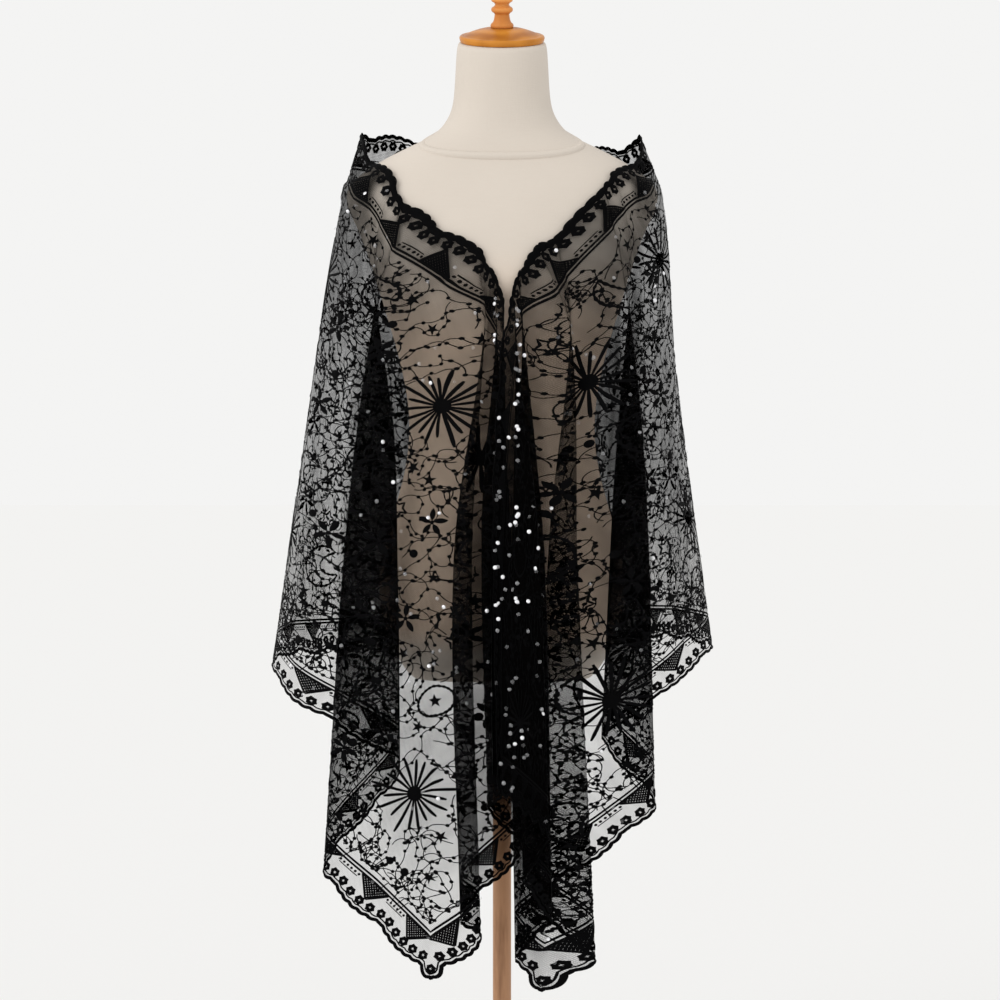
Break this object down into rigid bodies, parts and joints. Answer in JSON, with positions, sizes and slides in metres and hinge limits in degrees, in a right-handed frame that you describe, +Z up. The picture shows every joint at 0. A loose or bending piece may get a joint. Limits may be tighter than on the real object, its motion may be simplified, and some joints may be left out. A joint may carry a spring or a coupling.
{
  "type": "sequin shawl on dress form",
  "caption": "Long see-through net shawl with a scalloped border, draped over the shoulders of a limbless dress form on a wooden pole and round foot.",
  "frame": {"origin": "centre of the round foot's underside, on the floor", "axes": "+Z up along the pole, -Y towards the front of the form, +X towards the picture's right"},
  "size_m": [0.5291, 0.3547, 1.561],
  "materials": {
    "net": "black net, matt",
    "linen": "plain woven linen, matt",
    "wood": "turned and varnished"
  },
  "bodies": {
    "root": {"shawl_back": "net", "shawl_arm_left": "net", "shawl_arm_right": "net", "shawl_front_left": "net", "shawl_front_right": "net", "shawl_tail_left": "net", "shawl_tail_right": "net", "form_torso": "linen", "neck_cap": "wood", "finial": "wood", "pole": "wood", "base": "wood"}
  },
  "joints": []
}
